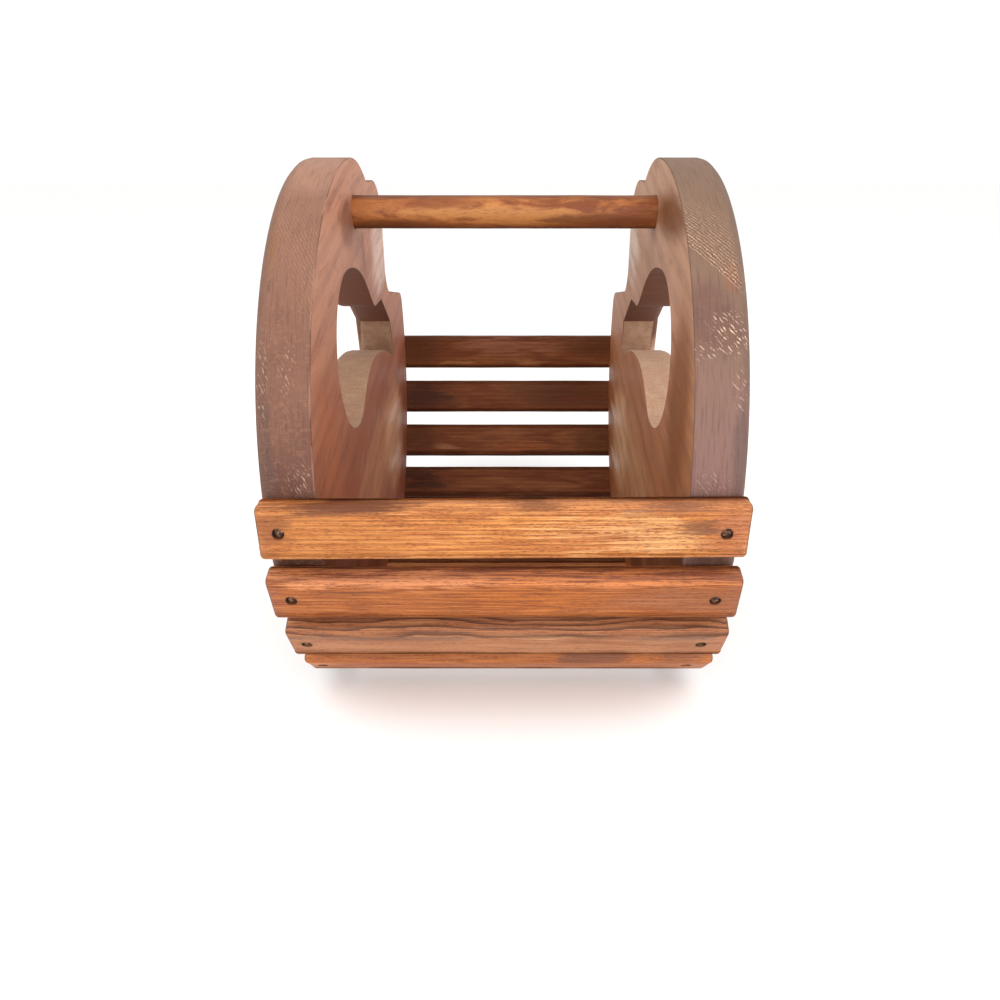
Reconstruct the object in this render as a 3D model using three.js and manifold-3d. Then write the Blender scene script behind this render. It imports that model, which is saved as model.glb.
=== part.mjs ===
// A slatted wooden basket. Two thick scroll-sawn side panels stand apart, a round handle
// spans them under their domes, and slats are nailed across their front, underside and back.
// Millimetres, +Z up, front towards -Y. The origin lies on the surface that the basket
// stands on, under its middle.
import * as THREE from "three";
import { mergeVertices } from "three/addons/utils/BufferGeometryUtils.js";
import Module from "manifold-3d";

// Side panels: front and back alike are drawn with one radius, the rim, above the level of its
// centres, and with a smaller one, the belly, below it. The underside is cut flat, a little
// above the belly's lowest point.
const INNER_WIDTH = 168;
const PANEL_THICK = 25.5;
const EDGE_ROUND = 5;
const RIM_RADIUS = 146;
const BELLY_RADIUS = 139;
const BELLY_SPREAD = 45;
const FLAT_CUT = 21;

// Scrolled top of a panel, from the top of the dome backwards.
const CREST_RADIUS = 79;
const CREST_RUN = 45;
const LEDGE_RUN = 21;
const NOSE_RADIUS = 30;
const RISER_HEIGHT = 26;
const COVE_RADIUS = 21;
const SHOULDER_SLOPE = THREE.MathUtils.degToRad(10.5);
const SHOULDER_RADIUS = 13;

// Cut-out of a panel, measured from the top of the dome.
const LOBE_RADIUS = 43;
const LOBE_FORWARD = 33;
const LOBE_DROP = 98;
const LOBE_OPENS = THREE.MathUtils.degToRad(280);
const THROAT_EASE = 53;
const LIP_BACK = 49;
const LIP_DROP = 89;
const LIP_EASE = 17;
const LIP_RUN = 23;
const BEAK_RUN = 32;
const BEAK_DROP = 21;
const TIP_RUN = 7;
const TIP_DROP = 27;
const HUMP_BACK = 34;
const HUMP_DROP = 118;
const HUMP_EASE = 34;
const LOBE_EASE = 10;
const TIP_EASE = 22;
const TIP_LIFT = 7;

// Handle: a dowel glued into blind sockets.
const HANDLE_DIAMETER = 17.5;
const HANDLE_DROP = 28;
const SOCKET_DEPTH = 12;

// Slats. Those across the front are a little wider than the rest.
const SIDE_SLATS = 4;
const BASE_SLATS = 5;
const SLAT_WIDTH = 25;
const FRONT_SLAT_WIDTH = 26.5;
const SLAT_THICK = 10.5;
const SLAT_EASE = 2.5;
const SLAT_END_INSET = 1;
const FIRST_SLAT_DROP = 4.6;
const SIDE_END_MARGIN = 16.3;
const BASE_END_MARGIN = 12;

// Nails: one through each end of a slat, with its head set below the face.
const NAIL_INSET = 10;
const NAIL_LENGTH = 30;
const NAIL_DIAMETER = 2.2;
const NAIL_HEAD_DIAMETER = 4.4;
const NAIL_HEAD_THICK = 1.2;
const NAIL_SET = 0.9;
const NAIL_POINT = 3.5;

// Clearances.
const SEAT_GAP = 0.3;
const FIT_GAP = 0.3;

// Facets.
const ARC_STEPS = 16;
const ROUND_STEPS = 3;
const EASE_STEPS = 3;
const HANDLE_SIDES = 40;
const NAIL_SIDES = 8;

const wasm = await Module();
wasm.setup();

// Heights and places that follow from the sizes above.
const undersideZ = SLAT_THICK + SEAT_GAP;
const flatDrop = BELLY_RADIUS - FLAT_CUT;
const rimZ = undersideZ + flatDrop;
const rearBellyY = BELLY_SPREAD / 2;
const frontBellyY = -rearBellyY;
const frontRimY = frontBellyY - BELLY_RADIUS + RIM_RADIUS;
const rearRimY = -frontRimY;
const domeTopZ = rimZ + RIM_RADIUS;
const flatAngle = Math.asin(flatDrop / BELLY_RADIUS);
const flatHalf = rearBellyY + BELLY_RADIUS * Math.cos(flatAngle);
const handleZ = domeTopZ - HANDLE_DROP;
const outerX = INNER_WIDTH / 2 + PANEL_THICK;
const slatLength = 2 * (outerX - SLAT_END_INSET);
const nailX = outerX - NAIL_INSET;

const stainedSide = { color: "#94634e", roughness: 0.55, metalness: 0 };
const honeyStain = { color: "#bd7840", roughness: 0.5, metalness: 0 };
const varnishedDowel = { color: "#b06c38", roughness: 0.35, metalness: 0 };
const darkSteel = { color: "#4a403a", roughness: 0.45, metalness: 0.9 };

function toSolid(geometry) {
  const bare = geometry.clone();
  bare.deleteAttribute("normal");
  bare.deleteAttribute("uv");
  const merged = mergeVertices(bare);
  const corners = merged.index.array;
  const triangles = [];
  for (let i = 0; i < corners.length; i += 3) {
    const triangle = corners.slice(i, i + 3);
    if (new Set(triangle).size === 3) {
      triangles.push(...triangle);
    }
  }
  const vertProperties = merged.attributes.position.array;
  const triVerts = new Uint32Array(triangles);
  return new wasm.Manifold(new wasm.Mesh({ numProp: 3, vertProperties, triVerts }));
}

function toGeometry(solid) {
  const { vertProperties, triVerts } = solid.getMesh();
  const geometry = new THREE.BufferGeometry();
  geometry.setAttribute("position", new THREE.BufferAttribute(vertProperties, 3));
  geometry.setIndex(new THREE.BufferAttribute(triVerts, 1));
  geometry.computeVertexNormals();
  return geometry;
}

function namedMesh(name, geometry, finish) {
  const mesh = new THREE.Mesh(geometry, new THREE.MeshStandardMaterial(finish));
  mesh.name = name;
  return mesh;
}

// The rounded corner where the shoulder's slope runs into the rear rim: its centre is one
// corner radius below the slope and one corner radius inside the rim.
function shoulderCorner(start) {
  const along = new THREE.Vector2(Math.cos(SHOULDER_SLOPE), -Math.sin(SHOULDER_SLOPE));
  const inward = new THREE.Vector2(along.y, -along.x);
  const foot = start.clone().addScaledVector(inward, SHOULDER_RADIUS);
  const fromRim = foot.clone().sub(new THREE.Vector2(rearRimY, rimZ));
  const reach = RIM_RADIUS - SHOULDER_RADIUS;
  const half = fromRim.dot(along);
  const travel = -half + Math.sqrt(half * half - fromRim.lengthSq() + reach * reach);
  const centre = foot.addScaledVector(along, travel);
  const rimAngle = Math.atan2(centre.y - rimZ, centre.x - rearRimY);
  return { centre, rimAngle };
}

// Outline of a panel in its own plane, x backwards and y upwards: up the round front, over the
// dome, down the scrolled rear, round the lower back and home along the flat underside.
function panelOutline() {
  const crestAngle = Math.acos(CREST_RUN / CREST_RADIUS);
  const crestZ = domeTopZ - CREST_RADIUS;
  const ledgeY = frontRimY + CREST_RUN;
  const ledgeZ = crestZ + CREST_RADIUS * Math.sin(crestAngle);
  const noseY = ledgeY + LEDGE_RUN;
  const noseZ = ledgeZ - NOSE_RADIUS;
  const coveY = noseY + NOSE_RADIUS + COVE_RADIUS;
  const coveZ = noseZ - RISER_HEIGHT;
  const { centre, rimAngle } = shoulderCorner(new THREE.Vector2(coveY, coveZ - COVE_RADIUS));
  const slopeNormal = Math.PI / 2 - SHOULDER_SLOPE;

  const outline = new THREE.Shape();
  outline.absarc(frontBellyY, rimZ, BELLY_RADIUS, Math.PI + flatAngle, Math.PI, true);
  outline.absarc(frontRimY, rimZ, RIM_RADIUS, Math.PI, Math.PI / 2, true);
  outline.absarc(frontRimY, crestZ, CREST_RADIUS, Math.PI / 2, crestAngle, true);
  outline.lineTo(noseY, ledgeZ);
  outline.absarc(noseY, noseZ, NOSE_RADIUS, Math.PI / 2, 0, true);
  outline.absarc(coveY, coveZ, COVE_RADIUS, Math.PI, 1.5 * Math.PI, false);
  outline.absarc(centre.x, centre.y, SHOULDER_RADIUS, slopeNormal, rimAngle, true);
  outline.absarc(rearRimY, rimZ, RIM_RADIUS, rimAngle, 0, true);
  outline.absarc(rearBellyY, rimZ, BELLY_RADIUS, 0, -flatAngle, true);
  outline.closePath();
  return outline;
}

// Cut-out: a round lobe behind the front rim, a throat that dips to a lip, a sloping beak with
// a pointed tip, and a hump that swells up from below.
function cutOutOutline() {
  const lobeY = frontRimY - LOBE_FORWARD;
  const lobeZ = domeTopZ - LOBE_DROP;
  const lobeTopZ = lobeZ + LOBE_RADIUS;
  const lipY = frontRimY + LIP_BACK;
  const lipZ = domeTopZ - LIP_DROP;
  const beakY = lipY + LIP_RUN + BEAK_RUN;
  const beakZ = lipZ - BEAK_DROP;
  const tipY = beakY + TIP_RUN;
  const tipZ = beakZ - TIP_DROP;
  const humpY = frontRimY + HUMP_BACK;
  const humpZ = domeTopZ - HUMP_DROP;
  const lobeEndY = lobeY + LOBE_RADIUS * Math.cos(LOBE_OPENS);
  const lobeEndZ = lobeZ + LOBE_RADIUS * Math.sin(LOBE_OPENS);
  const easeY = lobeEndY - LOBE_EASE * Math.sin(LOBE_OPENS);
  const easeZ = lobeEndZ + LOBE_EASE * Math.cos(LOBE_OPENS);

  const outline = new THREE.Shape();
  outline.absarc(lobeY, lobeZ, LOBE_RADIUS, LOBE_OPENS, Math.PI / 2, true);
  outline.bezierCurveTo(lobeY + THROAT_EASE, lobeTopZ, lipY - LIP_EASE, lipZ, lipY, lipZ);
  outline.lineTo(lipY + LIP_RUN, lipZ);
  outline.lineTo(beakY, beakZ);
  outline.lineTo(tipY, tipZ);
  outline.bezierCurveTo(tipY - TIP_EASE, tipZ + TIP_LIFT, humpY + HUMP_EASE, humpZ, humpY, humpZ);
  outline.bezierCurveTo(humpY - HUMP_EASE, humpZ, easeY, easeZ, lobeEndY, lobeEndZ);
  return outline;
}

// Turns a form drawn in the panel's plane so that it stands upright, with its depth along X.
function standUp(geometry) {
  const backwards = new THREE.Vector3(0, 1, 0);
  const upwards = new THREE.Vector3(0, 0, 1);
  const across = new THREE.Vector3(1, 0, 0);
  return geometry.applyMatrix4(new THREE.Matrix4().makeBasis(backwards, upwards, across));
}

function handleRod(radius, length) {
  return new THREE.CylinderGeometry(radius, radius, length, HANDLE_SIDES).rotateZ(Math.PI / 2);
}

// Round nail that points down, with the top of its head at the origin. The hole for it is larger
// all round by the gap, and the part for the head runs on upwards, out of the slat's face.
function nailForm(gap, headRun) {
  const shank = NAIL_DIAMETER / 2 + gap;
  const head = NAIL_HEAD_DIAMETER / 2 + gap;
  const underHead = -NAIL_HEAD_THICK - gap;
  const profile = [
    new THREE.Vector2(0, -NAIL_LENGTH - gap),
    new THREE.Vector2(shank, -NAIL_LENGTH + NAIL_POINT - gap),
    new THREE.Vector2(shank, underHead),
    new THREE.Vector2(head, underHead),
    new THREE.Vector2(head, headRun),
    new THREE.Vector2(0, headRun),
  ];
  return new THREE.LatheGeometry(profile, NAIL_SIDES).rotateX(Math.PI / 2);
}

// A slat lies with its inner face at z = 0 of its own frame and its length along X.
function slatBoard(width) {
  const y = width / 2 - SLAT_EASE;
  const low = SLAT_EASE;
  const high = SLAT_THICK - SLAT_EASE;
  const section = new THREE.Shape();
  section.absarc(y, low, SLAT_EASE, -Math.PI / 2, 0, false);
  section.absarc(y, high, SLAT_EASE, 0, Math.PI / 2, false);
  section.absarc(-y, high, SLAT_EASE, Math.PI / 2, Math.PI, false);
  section.absarc(-y, low, SLAT_EASE, Math.PI, 1.5 * Math.PI, false);
  section.closePath();
  const board = new THREE.ExtrudeGeometry(section, {
    depth: slatLength,
    curveSegments: EASE_STEPS,
    bevelEnabled: false,
  });
  board.translate(0, 0, -slatLength / 2);
  return standUp(board);
}

// Places of the slats, evenly spaced: down the front rim, down the rear rim, and along the flat
// underside. The end margins keep them off the corners where the belly meets the flat.
function slatSeats() {
  const seats = [];
  const reach = BELLY_RADIUS + SEAT_GAP;
  const firstAngle = Math.asin(FIRST_SLAT_DROP / BELLY_RADIUS);
  const lastAngle = flatAngle - (SIDE_END_MARGIN + SLAT_WIDTH / 2) / BELLY_RADIUS;
  for (let i = 0; i < SIDE_SLATS; i += 1) {
    const angle = THREE.MathUtils.lerp(firstAngle, lastAngle, i / (SIDE_SLATS - 1));
    const out = reach * Math.cos(angle);
    const z = rimZ - reach * Math.sin(angle);
    const turn = Math.PI / 2 + angle;
    const front = { name: `front_slat_${i + 1}`, width: FRONT_SLAT_WIDTH };
    const back = { name: `back_slat_${i + 1}`, width: SLAT_WIDTH };
    seats.push({ ...front, y: frontBellyY - out, z, turn });
    seats.push({ ...back, y: rearBellyY + out, z, turn: -turn });
  }
  const lastY = flatHalf - BASE_END_MARGIN - SLAT_WIDTH / 2;
  for (let i = 0; i < BASE_SLATS; i += 1) {
    const y = THREE.MathUtils.lerp(-lastY, lastY, i / (BASE_SLATS - 1));
    const base = { name: `base_slat_${i + 1}`, width: SLAT_WIDTH };
    seats.push({ ...base, y, z: undersideZ - SEAT_GAP, turn: Math.PI });
  }
  return seats;
}

const seats = slatSeats();
const nailHeadZ = SLAT_THICK - NAIL_SET;
const nailSpots = [
  { side: "left", x: -nailX },
  { side: "right", x: nailX },
];

function placeOn(seat, object) {
  object.position.set(0, seat.y, seat.z);
  object.rotation.x = seat.turn;
  object.updateMatrix();
  return object;
}

function nailHolesIn(seat) {
  const frame = placeOn(seat, new THREE.Object3D()).matrix;
  const hole = nailForm(FIT_GAP, SLAT_THICK);
  return nailSpots.map((spot) => {
    return toSolid(hole.clone().translate(spot.x, 0, nailHeadZ).applyMatrix4(frame));
  });
}

// A panel is sawn out of a board along its outline and cut-out, rounded over on its outside only, and
// drilled for the handle and the nails. The outline is drawn thicker than the board, so that the
// rounding on the inside falls away, and the cut-out runs the other way round, as a hole in an outline
// does. The side is -1 for the left panel and 1 for the right one.
function panelGeometry(side) {
  const outline = panelOutline();
  const cutOut = cutOutOutline().getPoints(ARC_STEPS);
  outline.holes.push(new THREE.Path(cutOut.reverse()));
  const sawn = new THREE.ExtrudeGeometry(outline, {
    depth: PANEL_THICK,
    curveSegments: ARC_STEPS,
    bevelThickness: EDGE_ROUND,
    bevelSize: EDGE_ROUND,
    bevelOffset: -EDGE_ROUND,
    bevelSegments: ROUND_STEPS,
  });
  const middleX = side * (INNER_WIDTH + PANEL_THICK) / 2;
  sawn.translate(0, 0, middleX - PANEL_THICK / 2 - side * EDGE_ROUND);
  const boardSize = 4 * RIM_RADIUS;
  const board = new THREE.BoxGeometry(PANEL_THICK, boardSize, boardSize);
  board.translate(middleX, 0, rimZ);
  const socketLength = INNER_WIDTH + 2 * SOCKET_DEPTH;
  const socket = handleRod(HANDLE_DIAMETER / 2 + FIT_GAP, socketLength);
  socket.translate(0, frontRimY, handleZ);

  let panel = toSolid(standUp(sawn)).intersect(toSolid(board));
  panel = panel.subtract(toSolid(socket));
  for (const seat of seats) {
    for (const hole of nailHolesIn(seat)) {
      panel = panel.subtract(hole);
    }
  }
  return toGeometry(panel);
}

function slatGeometry(width) {
  const hole = nailForm(FIT_GAP, SLAT_THICK);
  let board = toSolid(slatBoard(width));
  for (const spot of nailSpots) {
    board = board.subtract(toSolid(hole.clone().translate(spot.x, 0, nailHeadZ)));
  }
  return toGeometry(board);
}

const basket = new THREE.Group();
basket.name = "slat_basket";
basket.add(namedMesh("left_panel", panelGeometry(-1), stainedSide));
basket.add(namedMesh("right_panel", panelGeometry(1), stainedSide));

const handleLength = INNER_WIDTH + 2 * (SOCKET_DEPTH - FIT_GAP);
const handle = namedMesh("handle_dowel", handleRod(HANDLE_DIAMETER / 2, handleLength), varnishedDowel);
handle.position.set(0, frontRimY, handleZ);
basket.add(handle);

for (const seat of seats) {
  const row = placeOn(seat, new THREE.Group());
  row.add(namedMesh(seat.name, slatGeometry(seat.width), honeyStain));
  for (const spot of nailSpots) {
    const nail = namedMesh(`${seat.name}_nail_${spot.side}`, nailForm(0, 0), darkSteel);
    nail.position.set(spot.x, 0, nailHeadZ);
    row.add(nail);
  }
  basket.add(row);
}

export default basket;
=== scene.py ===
# %% [markdown]
# # A slatted wooden basket
# Two thick, scroll-sawn sides carry a round handle between them, and thirteen slats are nailed
# across their front, underside and back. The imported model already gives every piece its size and
# place, so this lesson only dresses it: each piece is worked up into a finished one in the same
# spot, and then stained, varnished or left rough from the saw.

# %% Load the frame
import functools
import math
import random

import bmesh
import bpy
import numpy as np
from mathutils import Matrix, Vector


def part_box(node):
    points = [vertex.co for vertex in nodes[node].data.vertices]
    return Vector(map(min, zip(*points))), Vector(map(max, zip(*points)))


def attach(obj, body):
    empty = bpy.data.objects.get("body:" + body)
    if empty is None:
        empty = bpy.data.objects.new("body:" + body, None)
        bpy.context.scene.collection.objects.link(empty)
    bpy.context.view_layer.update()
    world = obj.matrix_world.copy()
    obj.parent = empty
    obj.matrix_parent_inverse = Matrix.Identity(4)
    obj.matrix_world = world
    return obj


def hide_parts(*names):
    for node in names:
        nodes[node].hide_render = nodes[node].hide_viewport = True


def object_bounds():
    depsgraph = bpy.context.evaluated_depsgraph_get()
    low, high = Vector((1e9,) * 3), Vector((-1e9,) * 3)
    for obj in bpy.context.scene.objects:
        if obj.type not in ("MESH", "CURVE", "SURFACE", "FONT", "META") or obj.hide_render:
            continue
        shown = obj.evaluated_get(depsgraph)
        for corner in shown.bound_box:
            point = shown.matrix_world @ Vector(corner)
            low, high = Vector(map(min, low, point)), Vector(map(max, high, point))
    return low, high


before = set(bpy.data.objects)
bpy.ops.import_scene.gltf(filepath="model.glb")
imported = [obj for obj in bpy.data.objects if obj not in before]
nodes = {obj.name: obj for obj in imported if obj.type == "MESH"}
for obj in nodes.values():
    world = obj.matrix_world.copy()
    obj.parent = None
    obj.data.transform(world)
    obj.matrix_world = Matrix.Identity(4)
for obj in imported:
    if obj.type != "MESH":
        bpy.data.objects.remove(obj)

MM = 0.001
cad_low, cad_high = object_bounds()
middle = (cad_low + cad_high) / 2
print("frame:", len(nodes), "nodes,", [round(side / MM, 1) for side in cad_high - cad_low], "mm")

# %% [markdown]
# ## The camera
# The photograph was taken from close by with a wide lens, just above the handle and looking down
# into the basket. That is why the sides seem to lean and the lower slats look short. A wide lens
# at the same spot gives the same lines. The small shift stands for a picture that was trimmed.

# %% Camera
LENS_MM = 28.8
CAMERA_PLACE = Vector((4.87, -489.4, 282.25)) * MM
LOOK_DOWN = math.radians(24.08)
TRIM_SHIFT = -0.0136
NEAR_CLIP = 5 * MM

bpy.ops.object.select_all(action="DESELECT")
bpy.ops.object.camera_add(location=CAMERA_PLACE, rotation=(math.pi / 2 - LOOK_DOWN, 0, 0))
camera = bpy.context.object
camera.data.lens = LENS_MM
camera.data.shift_x = TRIM_SHIFT
camera.data.clip_start = NEAR_CLIP
bpy.context.scene.camera = camera
print("camera:", round((CAMERA_PLACE - middle).length / MM), "mm from the basket's middle")

# %% [markdown]
# ## Floor and light
# A pale floor under a white sky gives the even brightness of a photograph on white. A wide soft lamp
# in front, well behind the camera, brightens the slats that face it and reaches into the basket. A
# weak one above models the rounded edges, and two at the sides lift the panels' insides.

# %% Floor and light
FLOOR_SIZE = 12
SKY_STRENGTH = 1.03
# Each lamp's name, its place, aim and width in metres, and its power in watts.
LAMPS = [
    ("front", (0, -1.5, 0.6), (0, 0, 0.12), 1.0, 11),
    ("overhead", (0.1, -0.5, 1.4), (0, 0, 0.12), 1.1, 1.5),
    ("left_fill", (-0.85, -0.45, 1.15), (0, 0.05, 0.1), 0.8, 4.5),
    ("right_fill", (0.85, -0.45, 1.15), (0, 0.05, 0.1), 0.8, 4.5),
]

bpy.ops.mesh.primitive_plane_add(size=FLOOR_SIZE, location=(0, 0, cad_low.z))
floor = bpy.context.object
floor.name = "floor"

for name, place, aim, width, watts in LAMPS:
    turned = (Vector(aim) - Vector(place)).to_track_quat("-Z", "Y").to_euler()
    bpy.ops.object.light_add(type="AREA", location=place, rotation=turned)
    light = bpy.context.object
    light.name = name
    light.data.size = width
    light.data.energy = watts

sky = bpy.data.worlds.new("pale studio")
sky.use_nodes = True
background = sky.node_tree.nodes["Background"].inputs
background["Color"].default_value = (1, 1, 1, 1)
background["Strength"].default_value = SKY_STRENGTH
bpy.context.scene.world = sky
bpy.context.scene.view_settings.view_transform = "Standard"
print("light:", len(LAMPS), "lamps and the sky")

# %% [markdown]
# ## Helpers for modelling
# Work in edit mode means picking edges or faces first. By hand that is done with the mouse. Here
# `pick` selects what a small test says, such as every edge along the length. `new_piece` starts a
# piece from a mesh, `apply_modifier` adds a modifier and makes its result final, `smooth` rounds the
# shading off without touching the shape, and `settle` ties a finished piece to the frame.

# %% Helpers for modelling
SMOOTH_ANGLE = math.radians(35)


def pick(kind, wanted):
    """In edit mode, selects the EDGE or FACE elements for which wanted(element) is true."""
    bpy.ops.mesh.select_mode(type=kind)
    bpy.ops.mesh.select_all(action="DESELECT")
    mesh = bpy.context.object.data
    shape = bmesh.from_edit_mesh(mesh)
    for element in {"EDGE": shape.edges, "FACE": shape.faces}[kind]:
        element.select_set(bool(wanted(element)))
    bmesh.update_edit_mesh(mesh)


def new_piece(name, mesh):
    """A piece with a mesh of its own and no finish yet."""
    mesh.materials.clear()
    piece = bpy.data.objects.new(name, mesh)
    bpy.context.scene.collection.objects.link(piece)
    return piece


def make_active(piece):
    bpy.ops.object.select_all(action="DESELECT")
    piece.select_set(True)
    bpy.context.view_layer.objects.active = piece


def apply_modifier(piece, kind, **settings):
    make_active(piece)
    bpy.ops.object.modifier_add(type=kind)
    modifier = piece.modifiers[-1]
    for name, value in settings.items():
        setattr(modifier, name, value)
    bpy.ops.object.modifier_apply(modifier=modifier.name)


def smooth(piece):
    make_active(piece)
    bpy.ops.object.shade_smooth_by_angle(angle=SMOOTH_ANGLE)
    apply_modifier(piece, "WEIGHTED_NORMAL", keep_sharp=True)


def settle(piece, node):
    """The finished piece stands for its CAD node and rides on the basket's one body."""
    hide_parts(node)
    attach(piece, "root")


# %% [markdown]
# ## Where each slat sits
# A slat is a plain stick, tilted to lie flat against the curved sides. Its tilt isn't written down
# anywhere, but its widest face gives it away: that face's normal is the way out of the basket. From
# it come the slat's own axes: x along it, y across it and z out through its thickness.

# %% Measure the slats' seats
slat_names = [name for name in nodes if "_slat_" in name and "_nail_" not in name]


def seat_of(name):
    """The slat's own frame, with its inner face at z = 0, and its length, width and thickness."""
    mesh = nodes[name].data
    widest = max(mesh.polygons, key=lambda face: face.area)
    low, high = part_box(name)
    out = widest.normal.copy()
    if out.dot((low + high) / 2 - middle) < 0:
        out.negate()
    along = Vector((1, 0, 0))
    turn = Matrix((along, out.cross(along), out))
    corners = [turn @ vertex.co for vertex in mesh.vertices]
    lowest = Vector(map(min, *corners))
    highest = Vector(map(max, *corners))
    foot = (lowest + highest) / 2
    foot.z = lowest.z
    back = turn.transposed()
    return Matrix.Translation(back @ foot) @ back.to_4x4(), highest - lowest


seats = {name: seat_of(name) for name in slat_names}
SLAT_LENGTH, SLAT_WIDTH, SLAT_THICK = seats["front_slat_1"][1]
for name in slat_names:
    print("seat:", name, "size", [round(side / MM, 1) for side in seats[name][1]], "mm")

# %% [markdown]
# ## A slat, worked up from a block
# The slats are planed softwood with their long edges sanded round, more on the outside than on the
# inside. A block at the slat's size gets that round by bevelling its long edges, and a smaller
# bevel at the sawn ends. Extra cuts along and across it give the surface something to bend with, for
# the unevenness of hand sanding. Two widths occur, so two models are enough.

# %% Model a slat of each width
OUTER_EASE = 3.2 * MM
INNER_EASE = 2 * MM
EASE_STEPS = 6
END_EASE = 1.7 * MM
END_STEPS = 4
LENGTH_CUTS = 30
ACROSS_CUTS = [-6 * MM, -2 * MM, 2 * MM, 6 * MM]
# Points nearer than this count as being in one place.
HAIR = 0.01 * MM


def runs_along(edge):
    return abs(edge.verts[0].co.x - edge.verts[1].co.x) > SLAT_LENGTH / 2


def rims_an_end(edge):
    return all(abs(vertex.co.x) > SLAT_LENGTH / 2 - HAIR for vertex in edge.verts)


def model_slat(width):
    bpy.ops.object.select_all(action="DESELECT")
    bpy.ops.mesh.primitive_cube_add(
        size=1, location=(0, 0, SLAT_THICK / 2), scale=(SLAT_LENGTH, width, SLAT_THICK))
    bpy.ops.object.transform_apply(location=True, rotation=True, scale=True)
    bpy.ops.object.mode_set(mode="EDIT")
    pick("EDGE", lambda edge: runs_along(edge) and edge.verts[0].co.z > SLAT_THICK / 2)
    bpy.ops.mesh.bevel(offset=OUTER_EASE, segments=EASE_STEPS, affect="EDGES")
    pick("EDGE", lambda edge: runs_along(edge) and edge.verts[0].co.z < HAIR)
    bpy.ops.mesh.bevel(offset=INNER_EASE, segments=EASE_STEPS, affect="EDGES")
    pick("EDGE", rims_an_end)
    bpy.ops.mesh.bevel(offset=END_EASE, segments=END_STEPS, affect="EDGES")
    pick("EDGE", runs_along)
    bpy.ops.mesh.subdivide(number_cuts=LENGTH_CUTS)
    for cut in ACROSS_CUTS:
        bpy.ops.mesh.select_all(action="SELECT")
        bpy.ops.mesh.bisect(plane_co=(0, cut, 0), plane_no=(0, 1, 0))
    bpy.ops.object.mode_set(mode="OBJECT")
    return bpy.context.object


def width_of(name):
    return round(seats[name][1].y, 5)


slat_models = {width: model_slat(width) for width in sorted({width_of(name) for name in slat_names})}
for width, model in slat_models.items():
    print("slat model:", round(width / MM, 1), "mm wide,", len(model.data.polygons), "faces")

# %% [markdown]
# ## The punch for a nail hole
# Each nail was driven in a little below the surface, which left a ragged hole. A boolean cut makes
# it: a circle is drawn down into a stepped plug, wide for the head and narrow for the shank, and its
# wide end is pushed about so that the rim looks torn. Every hole turns the plug another way.

# %% Model the punch
def spread_of(node, frame_matrix):
    """Lowest and highest corner of a CAD node in another frame."""
    inverse = frame_matrix.inverted()
    corners = [inverse @ vertex.co for vertex in nodes[node].data.vertices]
    return Vector(map(min, *corners)), Vector(map(max, *corners))


nail_low, nail_high = spread_of("front_slat_1_nail_right", seats["front_slat_1"][0])
NAIL_X = (nail_low.x + nail_high.x) / 2
HEAD_TOP = nail_high.z
HEAD_RADIUS = (nail_high.y - nail_low.y) / 2
NAIL_LENGTH = nail_high.z - nail_low.z
HEAD_THICK = 1.2 * MM
SHANK_RADIUS = 1.1 * MM
NAIL_SIDES = 16
HOLE_CLEARANCE = 0.3 * MM
TEAR = 0.35


def draw_down(radius, narrow, head, shank, top=0):
    """Draws a circle down into a head and, narrower, on into a shank, and stays in edit mode."""
    bpy.ops.object.select_all(action="DESELECT")
    bpy.ops.mesh.primitive_circle_add(
        vertices=NAIL_SIDES, radius=radius, fill_type="NGON", location=(0, 0, top))
    bpy.ops.object.transform_apply(location=True)
    bpy.ops.object.mode_set(mode="EDIT")
    bpy.ops.mesh.extrude_region_move(TRANSFORM_OT_translate={"value": (0, 0, -head)})
    bpy.ops.mesh.extrude_region_move()
    bpy.ops.transform.resize(value=(narrow / radius, narrow / radius, 1))
    bpy.ops.mesh.extrude_region_move(TRANSFORM_OT_translate={"value": (0, 0, -shank)})
    return bpy.context.object


head_floor = HEAD_TOP - HEAD_THICK - HOLE_CLEARANCE
punch = draw_down(HEAD_RADIUS + HOLE_CLEARANCE, SHANK_RADIUS + HOLE_CLEARANCE,
                  SLAT_THICK - head_floor, SLAT_THICK + head_floor, top=SLAT_THICK)
bpy.ops.mesh.select_all(action="SELECT")
bpy.ops.mesh.normals_make_consistent(inside=False)
bpy.ops.object.mode_set(mode="OBJECT")
random.seed(11)
for vertex in punch.data.vertices:
    if vertex.co.z > SLAT_THICK - HAIR:
        stretch = 1 + random.uniform(0, TEAR)
        vertex.co.x *= stretch
        vertex.co.y *= stretch
        vertex.co.z += SLAT_THICK / 4
print("punch:", len(punch.data.vertices), "points, head", round(2 * HEAD_RADIUS / MM, 1), "mm wide")

# %% [markdown]
# ## Thirteen slats
# The slat is copied to each seat, with its own mesh. Every copy is made a little different, as by
# hand: its nail holes are torn another way, it is trimmed by eye, and its faces swell and sink by a
# hair. The board's own coordinates are kept on its points, so that the grain follows the board.

# %% Place the slats
SANDING_DEPTH = 0.5 * MM
SANDING_SPAN = 30 * MM
TRIM_BY_EYE = 0.5 * MM
# What the saw took off the left and right end of the front slats, or left on them, in mm.
FRONT_ENDS = {"front_slat_1": (-0.7, -1.4), "front_slat_2": (-1.2, -2.8),
              "front_slat_3": (0.3, -3.2), "front_slat_4": (1.4, -3.0)}
# How far they were nailed on askew, in degrees.
FRONT_TILT = {"front_slat_1": 0.32, "front_slat_2": 0.08, "front_slat_4": -0.25}

sanding = bpy.data.textures.new("hand sanding", type="CLOUDS")
sanding.noise_scale = SANDING_SPAN


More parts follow.
